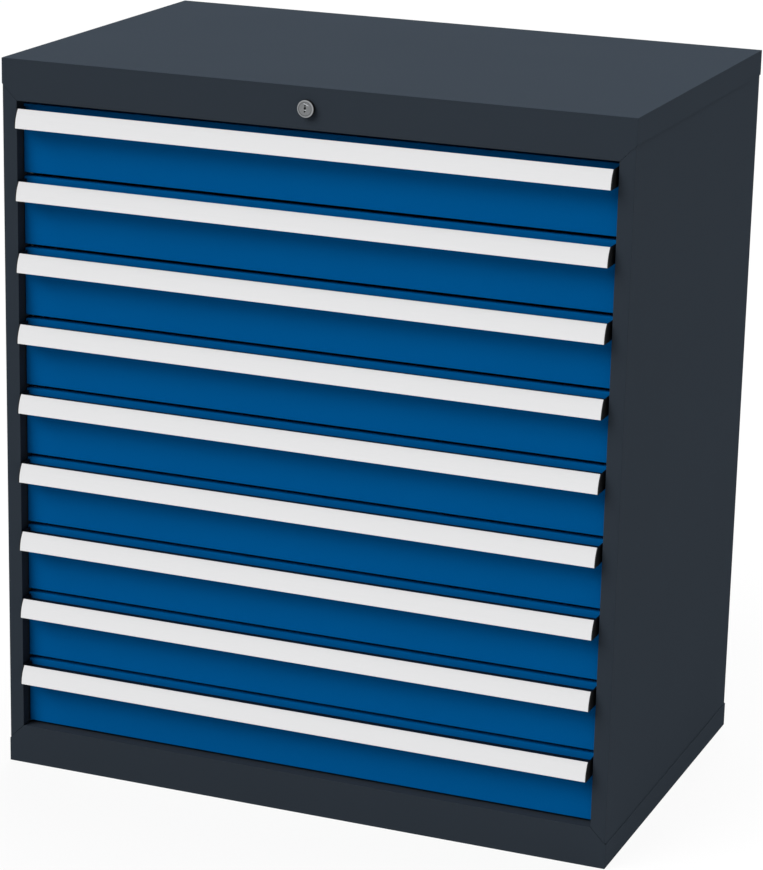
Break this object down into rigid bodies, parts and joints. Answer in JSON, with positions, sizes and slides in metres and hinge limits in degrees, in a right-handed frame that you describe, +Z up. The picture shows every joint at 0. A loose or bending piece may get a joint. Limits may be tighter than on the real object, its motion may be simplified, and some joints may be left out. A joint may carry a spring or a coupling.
{
  "type": "industrial drawer cabinet",
  "caption": "Free-standing sheet-steel workshop cabinet with full-width drawers on full-extension slides and one key lock that holds them all.",
  "frame": {"origin": "on the floor, midway across the cabinet and midway between the grips' foremost edge and the back", "axes": "+X to the right seen from the front, +Y to the back, +Z up; the drawers open towards -Y"},
  "size_m": [0.898, 0.5872, 1.018],
  "materials": {
    "anthracite_coat": "fine textured powder coat, semi-matt",
    "blue_coat": "fine textured powder coat, semi-matt",
    "grey_coat": "fine textured powder coat, semi-matt",
    "grip_aluminium": "extruded, natural anodised",
    "black_plastic": "moulded, fine grain",
    "zinc_plated_steel": "bright zinc plating, passivated",
    "nickel_plated_zinc": "die-cast, satin nickel plating"
  },
  "bodies": {
    "cabinet": {"top_cover": "anthracite_coat", "base_pan": "anthracite_coat", "back_panel": "anthracite_coat", "right_side": "anthracite_coat", "left_side": "anthracite_coat", "right_runner_rack": "zinc_plated_steel", "left_runner_rack": "zinc_plated_steel", "lock_cylinder": "nickel_plated_zinc", "lock_nut": "zinc_plated_steel"},
    "drawer_1": {"drawer_1_front": "blue_coat", "drawer_1_tray": "grey_coat", "drawer_1_grip": "grip_aluminium"},
    "drawer_1_carriages": {"drawer_1_right_carriage": "zinc_plated_steel", "drawer_1_left_carriage": "zinc_plated_steel"},
    "drawer_2": {"drawer_2_front": "blue_coat", "drawer_2_tray": "grey_coat", "drawer_2_grip": "grip_aluminium"},
    "drawer_2_carriages": {"drawer_2_right_carriage": "zinc_plated_steel", "drawer_2_left_carriage": "zinc_plated_steel"},
    "drawer_3": {"drawer_3_front": "blue_coat", "drawer_3_tray": "grey_coat", "drawer_3_grip": "grip_aluminium"},
    "drawer_3_carriages": {"drawer_3_right_carriage": "zinc_plated_steel", "drawer_3_left_carriage": "zinc_plated_steel"},
    "drawer_4": {"drawer_4_front": "blue_coat", "drawer_4_tray": "grey_coat", "drawer_4_grip": "grip_aluminium"},
    "drawer_4_carriages": {"drawer_4_right_carriage": "zinc_plated_steel", "drawer_4_left_carriage": "zinc_plated_steel"},
    "drawer_5": {"drawer_5_front": "blue_coat", "drawer_5_tray": "grey_coat", "drawer_5_grip": "grip_aluminium"},
    "drawer_5_carriages": {"drawer_5_right_carriage": "zinc_plated_steel", "drawer_5_left_carriage": "zinc_plated_steel"},
    "drawer_6": {"drawer_6_front": "blue_coat", "drawer_6_tray": "grey_coat", "drawer_6_grip": "grip_aluminium"},
    "drawer_6_carriages": {"drawer_6_right_carriage": "zinc_plated_steel", "drawer_6_left_carriage": "zinc_plated_steel"},
    "drawer_7": {"drawer_7_front": "blue_coat", "drawer_7_tray": "grey_coat", "drawer_7_grip": "grip_aluminium"},
    "drawer_7_carriages": {"drawer_7_right_carriage": "zinc_plated_steel", "drawer_7_left_carriage": "zinc_plated_steel"},
    "drawer_8": {"drawer_8_front": "blue_coat", "drawer_8_tray": "grey_coat", "drawer_8_grip": "grip_aluminium"},
    "drawer_8_carriages": {"drawer_8_right_carriage": "zinc_plated_steel", "drawer_8_left_carriage": "zinc_plated_steel"},
    "drawer_9": {"drawer_9_front": "blue_coat", "drawer_9_tray": "grey_coat", "drawer_9_grip": "grip_aluminium"},
    "drawer_9_carriages": {"drawer_9_right_carriage": "zinc_plated_steel", "drawer_9_left_carriage": "zinc_plated_steel"},
    "lock_barrel": {"lock_plug": "nickel_plated_zinc", "lock_cam": "zinc_plated_steel"},
    "lock_link": {"lock_link": "zinc_plated_steel"},
    "right_locking_bar": {"right_locking_bar": "zinc_plated_steel"},
    "left_locking_bar": {"left_locking_bar": "zinc_plated_steel"}
  },
  "joints": [
    {"name": "drawer_1_slide", "type": "slide", "parent": "cabinet", "child": "drawer_1", "axis": [0, -1, 0], "range_m": [0, 0.5]},
    {"name": "drawer_1_carriage_slide", "type": "slide", "parent": "cabinet", "child": "drawer_1_carriages", "axis": [0, -1, 0], "range_m": [0, 0.25]},
    {"name": "drawer_2_slide", "type": "slide", "parent": "cabinet", "child": "drawer_2", "axis": [0, -1, 0], "range_m": [0, 0.5]},
    {"name": "drawer_2_carriage_slide", "type": "slide", "parent": "cabinet", "child": "drawer_2_carriages", "axis": [0, -1, 0], "range_m": [0, 0.25]},
    {"name": "drawer_3_slide", "type": "slide", "parent": "cabinet", "child": "drawer_3", "axis": [0, -1, 0], "range_m": [0, 0.5]},
    {"name": "drawer_3_carriage_slide", "type": "slide", "parent": "cabinet", "child": "drawer_3_carriages", "axis": [0, -1, 0], "range_m": [0, 0.25]},
    {"name": "drawer_4_slide", "type": "slide", "parent": "cabinet", "child": "drawer_4", "axis": [0, -1, 0], "range_m": [0, 0.5]},
    {"name": "drawer_4_carriage_slide", "type": "slide", "parent": "cabinet", "child": "drawer_4_carriages", "axis": [0, -1, 0], "range_m": [0, 0.25]},
    {"name": "drawer_5_slide", "type": "slide", "parent": "cabinet", "child": "drawer_5", "axis": [0, -1, 0], "range_m": [0, 0.5]},
    {"name": "drawer_5_carriage_slide", "type": "slide", "parent": "cabinet", "child": "drawer_5_carriages", "axis": [0, -1, 0], "range_m": [0, 0.25]},
    {"name": "drawer_6_slide", "type": "slide", "parent": "cabinet", "child": "drawer_6", "axis": [0, -1, 0], "range_m": [0, 0.5]},
    {"name": "drawer_6_carriage_slide", "type": "slide", "parent": "cabinet", "child": "drawer_6_carriages", "axis": [0, -1, 0], "range_m": [0, 0.25]},
    {"name": "drawer_7_slide", "type": "slide", "parent": "cabinet", "child": "drawer_7", "axis": [0, -1, 0], "range_m": [0, 0.5]},
    {"name": "drawer_7_carriage_slide", "type": "slide", "parent": "cabinet", "child": "drawer_7_carriages", "axis": [0, -1, 0], "range_m": [0, 0.25]},
    {"name": "drawer_8_slide", "type": "slide", "parent": "cabinet", "child": "drawer_8", "axis": [0, -1, 0], "range_m": [0, 0.5]},
    {"name": "drawer_8_carriage_slide", "type": "slide", "parent": "cabinet", "child": "drawer_8_carriages", "axis": [0, -1, 0], "range_m": [0, 0.25]},
    {"name": "drawer_9_slide", "type": "slide", "parent": "cabinet", "child": "drawer_9", "axis": [0, -1, 0], "range_m": [0, 0.5]},
    {"name": "drawer_9_carriage_slide", "type": "slide", "parent": "cabinet", "child": "drawer_9_carriages", "axis": [0, -1, 0], "range_m": [0, 0.25]},
    {"name": "link_slide", "type": "slide", "parent": "cabinet", "child": "lock_link", "axis": [1, 0, 0], "range_m": [0, 0.01202]},
    {"name": "right_bar_lift", "type": "slide", "parent": "cabinet", "child": "right_locking_bar", "axis": [0, 0, 1], "range_m": [0, 0.01202]},
    {"name": "left_bar_lift", "type": "slide", "parent": "cabinet", "child": "left_locking_bar", "axis": [0, 0, 1], "range_m": [0, 0.01202]},
    {"name": "key_turn", "type": "hinge", "parent": "cabinet", "child": "lock_barrel", "pos_m": [0, -0.2784, 0.9897], "axis": [0, -1, 0], "range_deg": [0, 90]}
  ],
  "couplings": [
    {"joint": "drawer_1_carriage_slide", "follows": "drawer_1_slide", "ratio": 0.5},
    {"joint": "drawer_2_carriage_slide", "follows": "drawer_2_slide", "ratio": 0.5},
    {"joint": "drawer_3_carriage_slide", "follows": "drawer_3_slide", "ratio": 0.5},
    {"joint": "drawer_4_carriage_slide", "follows": "drawer_4_slide", "ratio": 0.5},
    {"joint": "drawer_5_carriage_slide", "follows": "drawer_5_slide", "ratio": 0.5},
    {"joint": "drawer_6_carriage_slide", "follows": "drawer_6_slide", "ratio": 0.5},
    {"joint": "drawer_7_carriage_slide", "follows": "drawer_7_slide", "ratio": 0.5},
    {"joint": "drawer_8_carriage_slide", "follows": "drawer_8_slide", "ratio": 0.5},
    {"joint": "drawer_9_carriage_slide", "follows": "drawer_9_slide", "ratio": 0.5},
    {"joint": "right_bar_lift", "follows": "link_slide", "ratio": 1},
    {"joint": "left_bar_lift", "follows": "link_slide", "ratio": 1},
    {"joint": "key_turn", "follows": "link_slide", "rad_per_m": 130.68}
  ]
}
